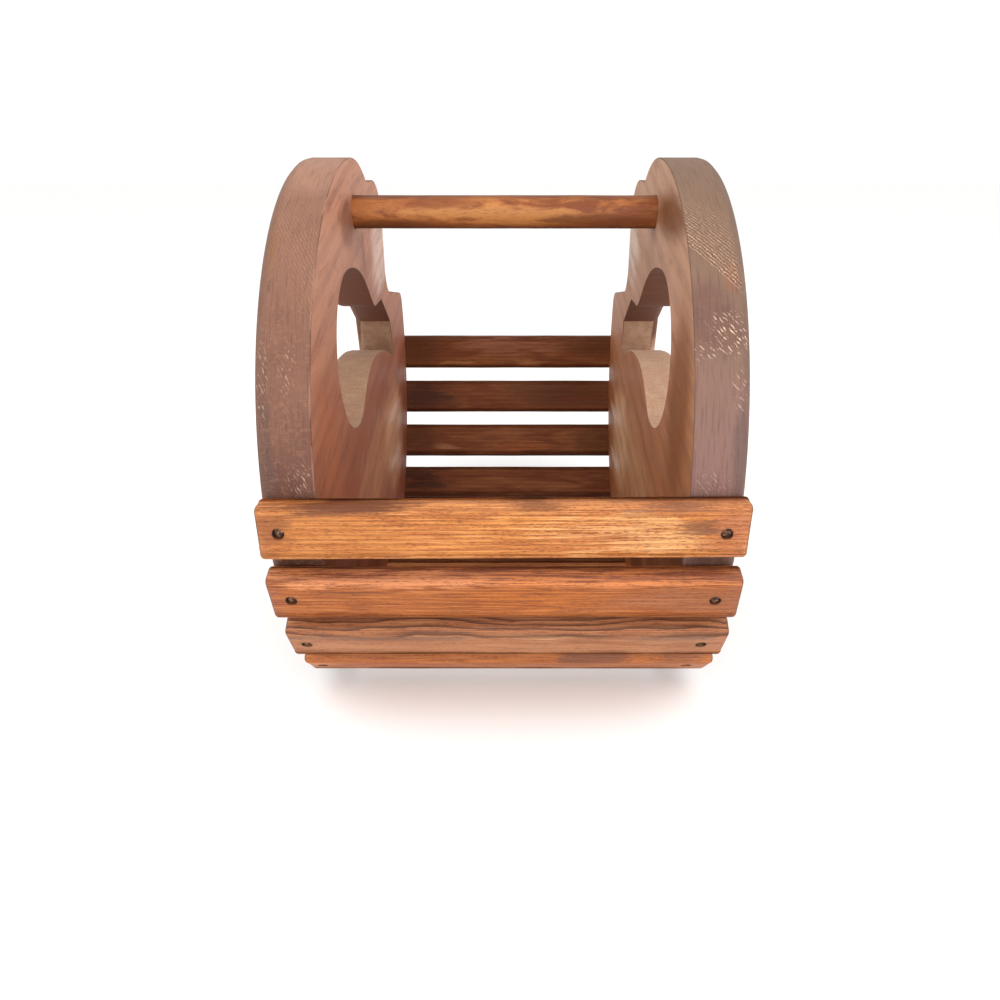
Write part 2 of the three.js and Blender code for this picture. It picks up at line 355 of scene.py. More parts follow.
def trim_ends(mesh, cuts):
    """Moves the left and right end a little and out of square, as a saw guided by eye leaves them."""
    for side, cut in zip((-1, 1), cuts):
        skew = random.uniform(-1, 1) * TRIM_BY_EYE / SLAT_WIDTH
        for vertex in mesh.vertices:
            if side * vertex.co.x > SLAT_LENGTH / 2 - 1.5 * END_EASE:
                vertex.co.x -= side * (cut + skew * vertex.co.y)


def punch_hole(piece, place):
    """Cuts one nail hole; place turns and moves the punch from the slat's frame."""
    plug = new_piece("plug", punch.data.copy())
    plug.data.transform(place)
    apply_modifier(piece, "BOOLEAN", object=plug, operation="DIFFERENCE", solver="EXACT")
    bpy.data.objects.remove(plug)


def keep_board_coordinates(piece, seat):
    inverse = seat.inverted()
    board = piece.data.attributes.new("board", "FLOAT_VECTOR", "POINT")
    for vertex, entry in zip(piece.data.vertices, board.data):
        entry.vector = inverse @ vertex.co


slats = {}
random.seed(23)
for name in slat_names:
    seat = seats[name][0]
    piece = new_piece(f"{name}_board", slat_models[width_of(name)].data.copy())
    askew = Matrix.Rotation(math.radians(FRONT_TILT.get(name, 0)), 4, "Z")
    for x in (-NAIL_X, NAIL_X):
        spun = Matrix.Rotation(random.uniform(0, 2 * math.pi), 4, "Z")
        punch_hole(piece, askew.inverted() @ Matrix.Translation((x, 0, 0)) @ spun)
    by_eye = [random.uniform(0, TRIM_BY_EYE) for end in range(2)]
    trim_ends(piece.data, [cut * MM for cut in FRONT_ENDS[name]] if name in FRONT_ENDS else by_eye)
    piece.data.transform(seat @ askew)
    apply_modifier(piece, "DISPLACE", texture=sanding, strength=SANDING_DEPTH, texture_coords="LOCAL")
    smooth(piece)
    settle(piece, name)
    keep_board_coordinates(piece, seat)
    slats[name] = piece
for spare in (*slat_models.values(), punch):
    bpy.data.objects.remove(spare)
print("slats:", len(slats), "boards,", sum(len(p.data.polygons) for p in slats.values()), "faces")

# %% [markdown]
# ## The nails
# Plain round nails with flat heads, blackened and a little rusty. One is drawn from a circle, like
# the punch: down for the head, in for the shank, down again and to a point. The top of the head is
# inset and raised, because a hammer leaves it slightly domed. It is then copied to all 26 places.

# %% Model one nail and place it
POINT_LENGTH = 3.5 * MM
DOME = 0.25 * MM
# Each inset is a share of the head's radius, and its rise a share of the dome.
DOME_STEPS = [(0.3, 0.7), (0.35, 0.3)]
HEAD_EASE = 0.2 * MM


def rims_the_head(edge):
    return all(vertex.co.xy.length > HEAD_RADIUS - HAIR and vertex.co.z > -HAIR for vertex in edge.verts)


nail_model = draw_down(HEAD_RADIUS, SHANK_RADIUS, HEAD_THICK, NAIL_LENGTH - HEAD_THICK - POINT_LENGTH)
bpy.ops.mesh.extrude_region_move(TRANSFORM_OT_translate={"value": (0, 0, -POINT_LENGTH)})
bpy.ops.mesh.merge(type="CENTER")
bpy.ops.mesh.select_all(action="SELECT")
bpy.ops.mesh.normals_make_consistent(inside=False)
pick("FACE", lambda face: face.normal.z > 0.9 and face.calc_center_median().z > -HEAD_THICK / 2)
for inset, rise in DOME_STEPS:
    bpy.ops.mesh.inset(thickness=HEAD_RADIUS * inset)
    bpy.ops.transform.translate(value=(0, 0, DOME * rise))
pick("EDGE", rims_the_head)
bpy.ops.mesh.bevel(offset=HEAD_EASE, segments=2, affect="EDGES")
bpy.ops.object.mode_set(mode="OBJECT")

nails = {}
random.seed(5)
for name in slat_names:
    for side, x in (("left", -NAIL_X), ("right", NAIL_X)):
        node = f"{name}_nail_{side}"
        piece = new_piece(f"{node}_steel", nail_model.data.copy())
        spun = Matrix.Rotation(random.uniform(0, 2 * math.pi), 4, "Z")
        piece.data.transform(seats[name][0] @ Matrix.Translation((x, 0, HEAD_TOP - DOME)) @ spun)
        smooth(piece)
        settle(piece, node)
        nails[node] = piece
bpy.data.objects.remove(nail_model)
print("nails:", len(nails), "of", round(NAIL_LENGTH / MM), "mm")

# %% [markdown]
# ## The handle
# A bought dowel, stained and varnished after it was glued in. A cylinder primitive is turned along
# X and cut into short lengths, and a faint swelling takes away the look of a machined rod.

# %% Model the handle
ROD_SIDES = 64
ROD_CUTS = 40
ROD_EASE = 0.8 * MM
ROD_UNEVEN = 0.35 * MM

rod_low, rod_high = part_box("handle_dowel")
rod_length = rod_high.x - rod_low.x
rod_radius = (rod_high.z - rod_low.z) / 2
bpy.ops.object.select_all(action="DESELECT")
bpy.ops.mesh.primitive_cylinder_add(
    vertices=ROD_SIDES, radius=rod_radius, depth=rod_length,
    location=(rod_low + rod_high) / 2, rotation=(0, math.pi / 2, 0))
rod = bpy.context.object
rod.name = "handle_dowel_rod"
bpy.ops.object.transform_apply(location=True, rotation=True)
bpy.ops.object.mode_set(mode="EDIT")
pick("EDGE", lambda edge: len({abs(face.normal.x) > 0.9 for face in edge.link_faces}) == 2)
bpy.ops.mesh.bevel(offset=ROD_EASE, segments=3, affect="EDGES")
pick("EDGE", lambda edge: abs(edge.verts[0].co.x - edge.verts[1].co.x) > rod_length / 2)
bpy.ops.mesh.subdivide(number_cuts=ROD_CUTS)
bpy.ops.object.mode_set(mode="OBJECT")
apply_modifier(rod, "DISPLACE", texture=sanding, strength=ROD_UNEVEN, texture_coords="LOCAL")
smooth(rod)
settle(rod, "handle_dowel")
print("handle:", round(2 * rod_radius / MM, 1), "mm dowel,", round(rod_length / MM), "mm long")

# %% [markdown]
# ## The outline of a side panel
# The sides are sawn from thick board: a round front, a dome over the handle and a scrolled back, with
# a comma-shaped cut-out. All of that is in the CAD mesh, so a copy of it is the best start. Its edges
# will be eased and get saw marks of their own, so the lines that the saw followed are found first, as
# rings of points round the flat inner face.

# %% Find the rings of a panel
def is_flat(face):
    return abs(face.normal.x) > 0.99


def ring_length(ring):
    return float(np.linalg.norm(np.roll(ring, -1, axis=0) - ring, axis=1).sum())


def run_up_front(ring):
    """Starts a ring at its foot in front, and runs it up the front and over the top."""
    step = np.roll(ring, -1, axis=0) - ring
    if (ring[:, 0] * step[:, 1] - ring[:, 1] * step[:, 0]).sum() > 0:
        ring = ring[::-1]
    # A point's height counts ten times as much as how far in front it lies.
    foot = (ring[:, 1] * 10 + ring[:, 0]).argmin()
    return np.roll(ring, -int(foot), axis=0)


def boundary_rings(mesh, inner_x):
    """Rings of (y, z) points round the flat inner face, the longest first: outline, cut-out, socket."""
    shape = bmesh.new()
    shape.from_mesh(mesh)
    inner = {face for face in shape.faces
             if is_flat(face) and abs(abs(face.calc_center_median().x) - inner_x) < 10 * HAIR}
    links = {}
    for edge in shape.edges:
        if sum(face in inner for face in edge.link_faces) == 1:
            for a, b in (edge.verts, reversed(edge.verts)):
                links.setdefault(a, []).append(b)
    rings = []
    while links:
        ring = [next(iter(links))]
        while ring[-1] in links:
            ways = links.pop(ring[-1])
            ring.append(next(vertex for vertex in ways if vertex not in ring[-2:]))
        rings.append(np.array([vertex.co.yz[:] for vertex in ring[:-1]]))
    shape.free()
    return [run_up_front(ring) for ring in sorted(rings, key=ring_length, reverse=True)]


# %% [markdown]
# ## Unrolling the sawn edges
# Saw marks follow the cut round every curve, which no straight pattern does. A UV map solves that: on
# the flat faces it is simply the place on the board, and on the sawn edges it is how far along the
# cut a point lies and how deep. The faces are sorted at the same time into the four finishes.

# %% Unroll a panel
ARRIS = 0.5 * MM
INSIDE, OUTSIDE, RIM, WALL = range(4)


def place_on(ring, point):
    """How far along a ring its nearest spot to a (y, z) point lies, and how near that is."""
    step = np.roll(ring, -1, axis=0) - ring
    length = np.linalg.norm(step, axis=1)
    share = np.clip(((point - ring) * step).sum(axis=1) / length ** 2, 0, 1)
    miss = np.linalg.norm(ring + share[:, None] * step - point, axis=1)
    nearest = int(miss.argmin())
    return float(length[:nearest].sum() + share[nearest] * length[nearest]), float(miss[nearest])


def unwrap_panel(mesh, rings, inner_x):
    """Lays the sawn edges out along and across the cut, and sorts the faces by their finish."""
    layer = mesh.uv_layers.new(name="sawn")
    outline, cut_out = rings[:2]
    for face in mesh.polygons:
        points = [mesh.vertices[i].co for i in face.vertices]
        if is_flat(face):
            places = [(co.y, co.z) for co in points]
            face.material_index = INSIDE if abs(face.center.x) < inner_x + ARRIS else OUTSIDE
        else:
            centre = np.array(face.center.yz)
            ring = min((outline, cut_out), key=lambda r: place_on(r, centre)[1])
            face.material_index = RIM if ring is outline else WALL
            along = [place_on(ring, np.array(co.yz))[0] for co in points]
            around = ring_length(ring)
            if max(along) - min(along) > around / 2:
                along = [a + around if a < around / 2 else a for a in along]
            places = [(a, abs(co.x) - inner_x) for a, co in zip(along, points)]
        for corner, place in zip(face.loop_indices, places):
            layer.data[corner].uv = place


# %% [markdown]
# ## Both panels
# A copy of the CAD mesh is loose triangles, so its points are merged and its flat areas joined. Then
# the crisp edges along the outline and the cut-out get the small chamfer that a turn of sandpaper
# leaves. The socket of the handle keeps its sharp edge.

# %% Work up the panels
MERGE_GAP = 0.002 * MM
FLAT_ANGLE = math.radians(0.3)


def spot(point):
    """A (y, z) point in whole hairs, so that it can be found again."""
    return tuple(np.round(np.array(point) / HAIR).astype(int))


panels = {}
for name in ("left_panel", "right_panel"):
    piece = new_piece(f"{name}_side", nodes[name].data.copy())
    low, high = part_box(name)
    inner_x = min(abs(low.x), abs(high.x))
    make_active(piece)
    bpy.ops.object.mode_set(mode="EDIT")
    bpy.ops.mesh.select_all(action="SELECT")
    bpy.ops.mesh.remove_doubles(threshold=MERGE_GAP)
    bpy.ops.mesh.dissolve_limited(angle_limit=FLAT_ANGLE)
    bpy.ops.object.mode_set(mode="OBJECT")
    rings = boundary_rings(piece.data, inner_x)
    sawn = {spot(point) for ring in rings[:2] for point in ring}
    bpy.ops.object.mode_set(mode="EDIT")
    pick("EDGE", lambda edge: len({is_flat(face) for face in edge.link_faces}) == 2
         and all(spot(vertex.co.yz) in sawn for vertex in edge.verts))
    bpy.ops.mesh.bevel(offset=ARRIS, segments=2, affect="EDGES")
    bpy.ops.object.mode_set(mode="OBJECT")
    unwrap_panel(piece.data, rings, inner_x)
    smooth(piece)
    settle(piece, name)
    panels[name] = piece
    lengths = [round(ring_length(ring) / MM) for ring in rings[:2]]
    print("panel:", name, len(piece.data.polygons), "faces, outline and cut-out", lengths, "mm round")

# %% [markdown]
# ## Tools for the finishes
# Colours are written as they look on a screen, and one function turns them into the linear light that
# the shader wants. Another adds a node, and each material gets its own, called `add`. A node's input is
# a plain value or another node's output. Numbered inputs are counted as Blender does: a Map Range reads
# its value 0 over the span 1 to 2 and turns it into 3 to 4, and a Mix lays number 3 over 2, or colour 7
# over 6, by the share 0. `grain` draws the uneven marks of wood, the patch helper lays a ragged patch of
# stain or wear, or of painted light and shade, and `coat` ends every wood in the same way.

# %% Helpers for materials
SOFT = {"interpolation_type": "SMOOTHSTEP"}
TINT = {"out": 2, "data_type": "RGBA"}
WOOD_IOR = 1.5
# A patch has half faded at this share of its reach.
PATCH_REACH = 0.75


def linear(screen):
    """An sRGB hex colour as linear red, green, blue and alpha."""
    parts = [int(screen[i:i + 2], 16) / 255 for i in (1, 3, 5)]
    return tuple(p / 12.92 if p <= 0.04045 else ((p + 0.055) / 1.055) ** 2.4 for p in parts) + (1.0,)


def add_node(tree, kind, inputs=None, out=0, **settings):
    """Adds a shader node and returns its output. An input is another node's output or a plain value."""
    node = tree.nodes.new("ShaderNode" + kind)
    for name, value in settings.items():
        setattr(node, name, value)
    for socket, value in (inputs or {}).items():
        if isinstance(value, bpy.types.NodeSocket):
            tree.links.new(value, node.inputs[socket])
        else:
            node.inputs[socket].default_value = value
    return node.outputs[out] if node.outputs else node


def start_material(name):
    """A material with nothing in it, and the function that adds a node to it."""
    material = bpy.data.materials.new(name)
    material.use_nodes = True
    material.node_tree.nodes.clear()
    return material, functools.partial(add_node, material.node_tree)


def per_mm(*lengths):
    """A mapping scale that makes a pattern's unit this many millimetres along each axis."""
    return tuple(1 / (length * MM) for length in lengths)


def wave_scale(gap):
    """A Wave Texture's scale for rings or bands this many millimetres apart."""
    return math.pi / 10 / (gap * MM)


def grain(add, plane, lengths, detail=3, roughness=0.5, distortion=0):
    """Fibres, streaks or blotches: uneven spots, about this many millimetres along each axis."""
    drawn_out = add("Mapping", {"Vector": plane, "Scale": per_mm(*lengths)})
    return add("TexNoise", {"Vector": drawn_out, "Scale": 1, "Detail": detail, "Roughness": roughness,
                            "Distortion": distortion}, "Fac")


# Lays patches of stain and wear, and also painted highlights, painted reflections and painted shade.
def stain_and_light_patch(add, plane, ragged, colour, centre, reach, tint, share, tear=1.6, blur=0.7):
    """Tints an oval of the surface, in mm on its own plane, with its edge torn by a noise."""
    scale = per_mm(*reach, 1)
    move = (-centre[0] / reach[0], -centre[1] / reach[1], 0)
    oval = add("Mapping", {"Vector": plane, "Location": move, "Scale": scale})
    away = add("VectorMath", {0: oval, 1: (1, 1, 0)}, operation="MULTIPLY")
    away = add("VectorMath", {0: away}, "Value", operation="LENGTH")
    torn = add("Math", {0: ragged, 1: tear, 2: away}, operation="MULTIPLY_ADD")
    edge = PATCH_REACH + tear / 2
    mask = add("MapRange", {0: torn, 1: edge - blur / 2, 2: edge + blur / 2, 3: share, 4: 0}, **SOFT)
    return add("Mix", {0: mask, 6: colour, 7: linear(tint)}, **TINT)


def coat(material, add, colour, roughness, gloss, relief, strength, depth):
    """Ends a wood: its colour under a thin finish, with the relief sunk in by depth millimetres."""
    bump = add("Bump", {"Strength": strength, "Distance": depth * MM, "Height": relief}, invert=True)
    shader = add("BsdfPrincipled", {"Base Color": colour, "Roughness": roughness, "Normal": bump,
                                    "IOR": WOOD_IOR, "Specular IOR Level": gloss})
    add("OutputMaterial", {"Surface": shader})
    return material


# %% [markdown]
# ## Where the stain soaks in
# Stain goes deeper where the wood is cut across or bruised, so a slat is darker along its long edges,
# at its sawn ends and in a smudge round each nail. On the second slat the edge tint is also painted
# shade, on its top face under the slat above. These are distances on the board, roughened by the
# grain's own patterns so that no edge is ruled.

# %% Edges, ends and nails of a slat
EDGE_FADE = 4 * MM
END_FADE = 9 * MM
END_SHARE = 0.5
SMUDGE_REACH = (3.4 * MM, 5.2 * MM)
SMUDGE_SHARE = 0.75


def soak_and_shade_places(add, axes, width, torn, fibre, edge_share):
    """Two shares: along the board's edges and ends, and round its nails."""
    off_centre = add("Math", {0: axes["Y"]}, operation="ABSOLUTE")
    ragged = add("Math", {0: torn, 1: 6 * MM, 2: off_centre}, operation="MULTIPLY_ADD")
    sides = add("MapRange", {0: ragged, 1: width / 2, 2: width / 2 + EDGE_FADE, 4: edge_share}, **SOFT)
    from_middle = add("Math", {0: axes["X"]}, operation="ABSOLUTE")
    ends = add("MapRange", {0: from_middle, 1: SLAT_LENGTH / 2 - END_FADE, 2: SLAT_LENGTH / 2,
                            4: END_SHARE}, **SOFT)
    soak_and_shade = add("Math", {0: sides, 1: ends}, operation="MAXIMUM")
    from_nail = add("Math", {0: from_middle, 1: NAIL_X}, operation="SUBTRACT")
    nail_gap = add("CombineXYZ", {0: from_nail, 1: axes["Y"]})
    nail_reach = add("VectorMath", {0: nail_gap}, "Value", operation="LENGTH")
    uneven = add("Math", {0: fibre, 1: 3 * MM, 2: nail_reach}, operation="MULTIPLY_ADD")
    near, far = SMUDGE_REACH
    smudge = add("MapRange", {0: uneven, 1: near, 2: far, 3: SMUDGE_SHARE, 4: 0}, **SOFT)
    return soak_and_shade, smudge


# %% [markdown]
# ## Stained pine for the slats
# Pine is soft and drinks stain unevenly. Its patterns are drawn out along the board: growth rings cut
# through by the face, long pale streaks with dark specks gathered beside them, and broad blotches where
# the stain took more or less. Ragged patches of other tints lie over them: stain, a painted highlight on
# the second slat and painted shade on the back ones. The end grain is darkest.
# Real fibres are finer than the picture can show, so the specks are drawn about 0.5 mm wide.

# %% Pine, brush-stained, satin
NAIL_SMUDGE = "#3a1f10"
END_GRAIN = "#38271c"
SHEEN_SPREAD = 0.08


def stained_pine(name, width, shift, light, deep, late, pale, edge, pith=(0.06, 0.02), ring_gap=2.4,
                 ring_share=0.3, ring_stretch=0.05, ring_wander=5, ring_from=-20, dash_share=0.6,
                 edge_share=0.8, patches=(), roughness=0.5, gloss=0.3):
    """Warm and striped along the grain, with a dull shine."""
    material, add = start_material(name)
    board = add("Attribute", out="Vector", attribute_name="board")
    own = add("Mapping", {"Vector": board, "Location": shift})
    axes = add("SeparateXYZ", {0: board}).node.outputs

    log = add("Mapping", {"Vector": board, "Location": (shift[0] * ring_stretch, *pith),
                          "Scale": (ring_stretch, 1, 1)})
    ring = add("TexWave", {"Vector": log, "Scale": wave_scale(ring_gap), "Distortion": ring_wander,
                           "Detail": 2, "Detail Scale": 0.6}, "Fac",
               wave_type="RINGS", rings_direction="X", wave_profile="SAW")
    late_wood = add("MapRange", {0: ring, 1: 0.35, 2: 0.95, 4: ring_share}, **SOFT)
    in_zone = add("MapRange", {0: axes["Y"], 1: ring_from * MM, 2: (ring_from + 4) * MM})
    late_wood = add("Math", {0: late_wood, 1: in_zone}, operation="MULTIPLY")

    fibre = grain(add, own, (2.6, 0.5, 0.5), roughness=0.7)
    streak = grain(add, own, (24, 0.7, 0.7), roughness=0.6)
    gathered = add("Mix", {0: 0.45, 2: fibre, 3: streak})
    dashes = add("MapRange", {0: gathered, 1: 0.49, 2: 0.6, 4: dash_share}, **SOFT)
    pale_dashes = add("MapRange", {0: streak, 1: 0.48, 2: 0.34, 4: dash_share}, **SOFT)
    blotch = grain(add, own, (40, 8, 8), detail=4, distortion=0.6)
    stain = add("MapRange", {0: blotch, 1: 0.36, 2: 0.66}, **SOFT)
    torn = add("Mix", {0: 0.5, 2: blotch, 3: streak})
    soak_and_shade, smudge = soak_and_shade_places(add, axes, width, torn, fibre, edge_share)
    facing = add("SeparateXYZ", {0: add("TexCoord", out="Normal")}).node.outputs["X"]
    sideways = add("Math", {0: facing}, operation="ABSOLUTE")
    cut_across = add("MapRange", {0: sideways, 1: 0.3, 2: 0.8, 4: 0.85})

    colour = add("Mix", {0: stain, 6: linear(light), 7: linear(deep)}, **TINT)
    # The edge tint darkens the long edges and ends: deeper stain, and on the second slat also painted shade.
    for share, tint in ((soak_and_shade, edge), (pale_dashes, pale)):
        colour = add("Mix", {0: share, 6: colour, 7: linear(tint)}, **TINT)
    for patch in patches:
        colour = stain_and_light_patch(add, board, torn, colour, *patch, tear=6, blur=0.6)
    for share, tint in ((late_wood, late), (dashes, late), (smudge, NAIL_SMUDGE), (cut_across, END_GRAIN)):
        colour = add("Mix", {0: share, 6: colour, 7: linear(tint)}, **TINT)
    relief = add("Math", {0: dashes, 1: late_wood}, operation="ADD")
    sheen = add("MapRange", {0: blotch, 1: 0.3, 2: 0.7,
                             3: roughness - SHEEN_SPREAD, 4: roughness + SHEEN_SPREAD})
    return coat(material, add, colour, sheen, gloss, relief, strength=0.35, depth=0.15)


# %% [markdown]
# ## Each slat's own look
# No two slats took the stain alike. The top one is golden, with red-brown left along its upper edge and
# at its right end. The second has a pale band along its rounded upper edge, which is a painted highlight,
# and its darker edge tint is partly painted shade on its top face, under the slat above. The third has
# dark, wavy rings on its upper edge. The back ones are darker, partly as painted shade inside the basket;
# the dark patches near their ends are painted shade beside the sides, and each has paler patches too. A
# patch is written as its centre and reach on the board in mm, its tint and its strength.

# %% Each slat's own look
FRONT_LOOKS = {
    "front_slat_1": dict(
        light="#c57d3a", deep="#b1682f", late="#683414", pale="#d5975a", edge="#c58152", edge_share=0.6,
        ring_gap=2.1, ring_share=0.4, dash_share=0.72,
        patches=[((-70, 12.6), (32, 4.6), "#46170a", 0.85), ((15, 13.2), (14, 3), "#6a3a22", 0.7),
                 ((76, 13), (32, 3.4), "#704231", 0.75), ((58, -1), (44, 11), "#dca671", 0.5),
                 ((-74, -2), (36, 11), "#a3602a", 0.45), ((101, 1), (14, 14), "#a05c3f", 0.7),
                 ((88, 3.5), (10, 4.5), "#57301f", 0.7), ((-104, 0), (9, 14), "#7d4321", 0.7)]),
    "front_slat_2": dict(
        # The darker, greyer edge tint is partly painted shade on the top face, under the slat above.
        light="#9f561e", deep="#8c4715", late="#5e2d11", pale="#bc753e", edge="#8a533f",
        # The first two patches, a pale band along the rounded upper edge, are a painted highlight.
        patches=[((-50, 11), (70, 3.4), "#d08656", 0.8), ((55, 11.2), (66, 3.2), "#cc7c46", 0.8),
                 ((8, 2), (28, 9), "#b4631f", 0.6), ((88, 0), (30, 11), "#8e5434", 0.65),
                 ((-72, 5.6), (16, 0.6), "#532712", 0.8)]),
    "front_slat_3": dict(
        light="#a76d45", deep="#955c38", late="#3d1f15", pale="#bb8459", edge="#a76643", dash_share=0.5,
        pith=(-0.016, 0.006), ring_gap=2.9, ring_share=0.75, ring_stretch=0.22, ring_wander=14, ring_from=6,
        patches=[((0, -4), (130, 5), "#a86e49", 0.6), ((-62, 6.5), (42, 3), "#6e4a3a", 0.7),
                 ((16, 8), (24, 2), "#bb8a60", 0.6), ((80, 7), (26, 2.5), "#74503e", 0.6)]),
    "front_slat_4": dict(
        light="#b76b32", deep="#a15829", late="#6b351b", pale="#c4804a", edge="#b26730", edge_share=0.7,
        patches=[((46, 13), (20, 6), "#6c4032", 0.75), ((95, 13), (14, 6), "#8c5942", 0.6)]),
}
# The back slats are darker than the front ones, partly stain and partly painted shade inside the basket.
BACK_LOOK_AND_SHADE = dict(light="#844d29", deep="#6b381f", late="#4a2411", pale="#98603b", edge="#522a1a",
                 ring_gap=3.2, dash_share=0.35, roughness=0.6, gloss=0.15)
# The dark patches near the ends, beside the side panels, are painted shade.
BACK_PATCHES_AND_SHADE = {
    "back_slat_1": [((-72, -3), (26, 14), "#2f1712", 0.45), ((66, -5), (28, 10), "#3a2008", 0.5),
                    ((0, -5), (46, 8), "#8f5c4a", 0.45),
                    ((-42, 8.5), (15, 3), "#a46c40", 0.6), ((20, 8.5), (16, 3), "#a46c40", 0.55)],
    "back_slat_2": [((-68, 0), (28, 16), "#2a1418", 0.75), ((46, -2), (54, 14), "#40210f", 0.6)],
    "back_slat_3": [((-74, 0), (18, 14), "#3c180c", 0.55), ((-50, 6), (10, 4), "#b07c5c", 0.55),
                    ((10, 6), (26, 4), "#9a5224", 0.5), ((74, 0), (18, 14), "#40240c", 0.5)],
    "back_slat_4": [((-72, 0), (26, 16), "#1e0a08", 0.75), ((40, 6), (30, 5), "#94603c", 0.4)],
}
BASE_LOOK = dict(light="#c07b4a", deep="#9f5f36", late="#54301a", pale="#b07a4c", edge="#825136",
                 ring_gap=3.0, dash_share=0.4, roughness=0.6, gloss=0.15)

random.seed(41)
for name, piece in slats.items():
    look = FRONT_LOOKS.get(name, BASE_LOOK)
    if name in BACK_PATCHES_AND_SHADE:
        look = dict(BACK_LOOK_AND_SHADE, patches=BACK_PATCHES_AND_SHADE[name])
    shift = tuple(random.uniform(-1, 1) for axis in range(3))
    width = seats[name][1].y
    piece.data.materials.append(stained_pine(f"stained pine, {name}", width, shift, **look))
print("pine:", len(slats), "boards, each with its own grain")

# %% [markdown]
# ## The panels' faces
# The flat faces were sanded, stained red-brown and left nearly matt. They are painted lighter towards the
# top, a painted reflection of the light from above. The grain runs from front to back and rises a little
# on the way, so the rings are wrapped round an axis tilted that far and show as long, faint bands. Fine
# lines and a darker mottling follow them. The lines are drawn about 1 mm wide, coarser than real fibres,
# so that they show. Patches come on top: stain, painted light and painted shade.

# %% Side board, sanded, stained red-brown
GRAIN_RISE = math.radians(14)


def stained_face(name, top, low, late, pale, shift, patches=()):
    """Red-brown and nearly matt, clouded along the grain."""
    material, add = start_material(name)
    place = add("TexCoord", out="Object")
    flat = add("UVMap", uv_map="sawn")
    height = add("SeparateXYZ", {0: place}).node.outputs["Z"]
    tilted = add("Mapping", {"Vector": place, "Rotation": (-GRAIN_RISE, 0, 0)})
    log = add("Mapping", {"Vector": tilted, "Location": shift, "Scale": (1, 0.12, 1)})
    ring = add("TexWave", {"Vector": log, "Scale": wave_scale(13), "Distortion": 9,
                           "Detail": 3, "Detail Scale": 0.8}, "Fac",
               wave_type="RINGS", rings_direction="Y", wave_profile="SIN")
    late_wood = add("MapRange", {0: ring, 1: 0.3, 2: 1, 4: 0.2}, **SOFT)
    fibre = grain(add, tilted, (0.9, 22, 0.9), roughness=0.65)
    lines = add("MapRange", {0: fibre, 1: 0.5, 2: 0.72, 4: 0.18}, **SOFT)
    pale_lines = add("MapRange", {0: fibre, 1: 0.44, 2: 0.3, 4: 0.16}, **SOFT)
    mottle = grain(add, tilted, (5, 26, 5), detail=4, roughness=0.6, distortion=1)
    cloudy = add("MapRange", {0: mottle, 1: 0.46, 2: 0.74, 4: 0.35}, **SOFT)
    figure = add("Math", {0: late_wood, 1: cloudy}, operation="ADD")
    blotch = grain(add, tilted, (20, 50, 20), detail=4, distortion=0.8)
    ragged = add("MapRange", {0: blotch, 3: 0.3, 4: 0.7})
    # The faces are painted lighter towards the top: a painted reflection of the light from above.
    lift = add("Math", {0: blotch, 1: 110 * MM, 2: height}, operation="MULTIPLY_ADD")
    upper = add("MapRange", {0: lift, 1: 150 * MM, 2: 310 * MM}, **SOFT)

    colour = add("Mix", {0: upper, 6: linear(low), 7: linear(top)}, **TINT)
    for patch in patches:
        colour = stain_and_light_patch(add, flat, ragged, colour, *patch)
    for share, tint in ((figure, late), (lines, late), (pale_lines, pale)):
        colour = add("Mix", {0: share, 6: colour, 7: linear(tint)}, **TINT)
    sheen = add("MapRange", {0: blotch, 1: 0.3, 2: 0.7, 3: 0.5, 4: 0.65})
    return coat(material, add, colour, sheen, 0.2, lines, strength=0.2, depth=0.1)


# %% [markdown]
# ## The saw's strokes
# Round the rim the wood was only lightly sanded, so the band saw's strokes still slant across the edge
# in places: plainly at the top right, faintly at the top left. A weak second set crosses them, as
# sanding leaves it. The strokes start at a line and fray out along the rim. Where fibres broke out, only
# short pieces of strokes are left, as pale flecks.

# %% Strokes of the band saw
STROKE_GAP = 1.5
CROSS_GAP = 1.7
CROSS_SHARE = 0.3


def saw_strokes(add, sawn, cloud, mottle, angle, start, stop, fade, share):
    """Four shares: the ground under the strokes, their grooves, their peaks, and loose flecks."""
    turned = add("Mapping", {"Vector": sawn, "Rotation": (0, 0, -math.radians(angle))})
    across = add("SeparateXYZ", {0: turned}).node.outputs["X"]
    stroke, cross = (
        add("TexWave", {"Vector": turned, "Scale": wave_scale(gap), "Distortion": wander,
                        "Detail": 3, "Detail Scale": 1.5}, "Fac",
            wave_type="BANDS", bands_direction=way, wave_profile="SIN")
        for way, gap, wander in (("X", STROKE_GAP, 5), ("Y", CROSS_GAP, 8)))
    starts = add("MapRange", {0: across, 1: start * MM, 2: (start + fade) * MM})
    frayed = add("Math", {0: cloud, 1: 20 * MM, 2: across}, operation="MULTIPLY_ADD")
    stops = add("MapRange", {0: frayed, 1: (stop - 5) * MM, 2: (stop + 25) * MM, 3: 1, 4: 0})
    zone = add("Math", {0: starts, 1: stops}, operation="MULTIPLY")
    ground = add("Math", {0: zone, 1: 0.6 * share}, operation="MULTIPLY")
    kept = add("MapRange", {0: mottle, 1: 0.38, 2: 0.62, 3: 0.15, 4: share})
    worn = add("Math", {0: zone, 1: kept}, operation="MULTIPLY")
    weave = add("Math", {0: cross, 1: CROSS_SHARE, 2: stroke}, operation="MULTIPLY_ADD")
    groove = add("MapRange", {0: weave, 1: 0.6, 2: 1.1}, **SOFT)
    grooves = add("Math", {0: groove, 1: worn}, operation="MULTIPLY")
    peak = add("MapRange", {0: weave, 1: 0.55, 2: 0.15}, **SOFT)
    peaks = add("Math", {0: peak, 1: worn}, operation="MULTIPLY")
    dot = grain(add, turned, (1.3, 3, 1), detail=2)
    torn_out = add("MapRange", {0: dot, 1: 0.52, 2: 0.62})
    tips = add("MapRange", {0: stroke, 1: 0.45, 2: 0.15}, **SOFT)
    flecks = add("Math", {0: tips, 1: torn_out}, operation="MULTIPLY")
    return ground, grooves, peaks, flecks
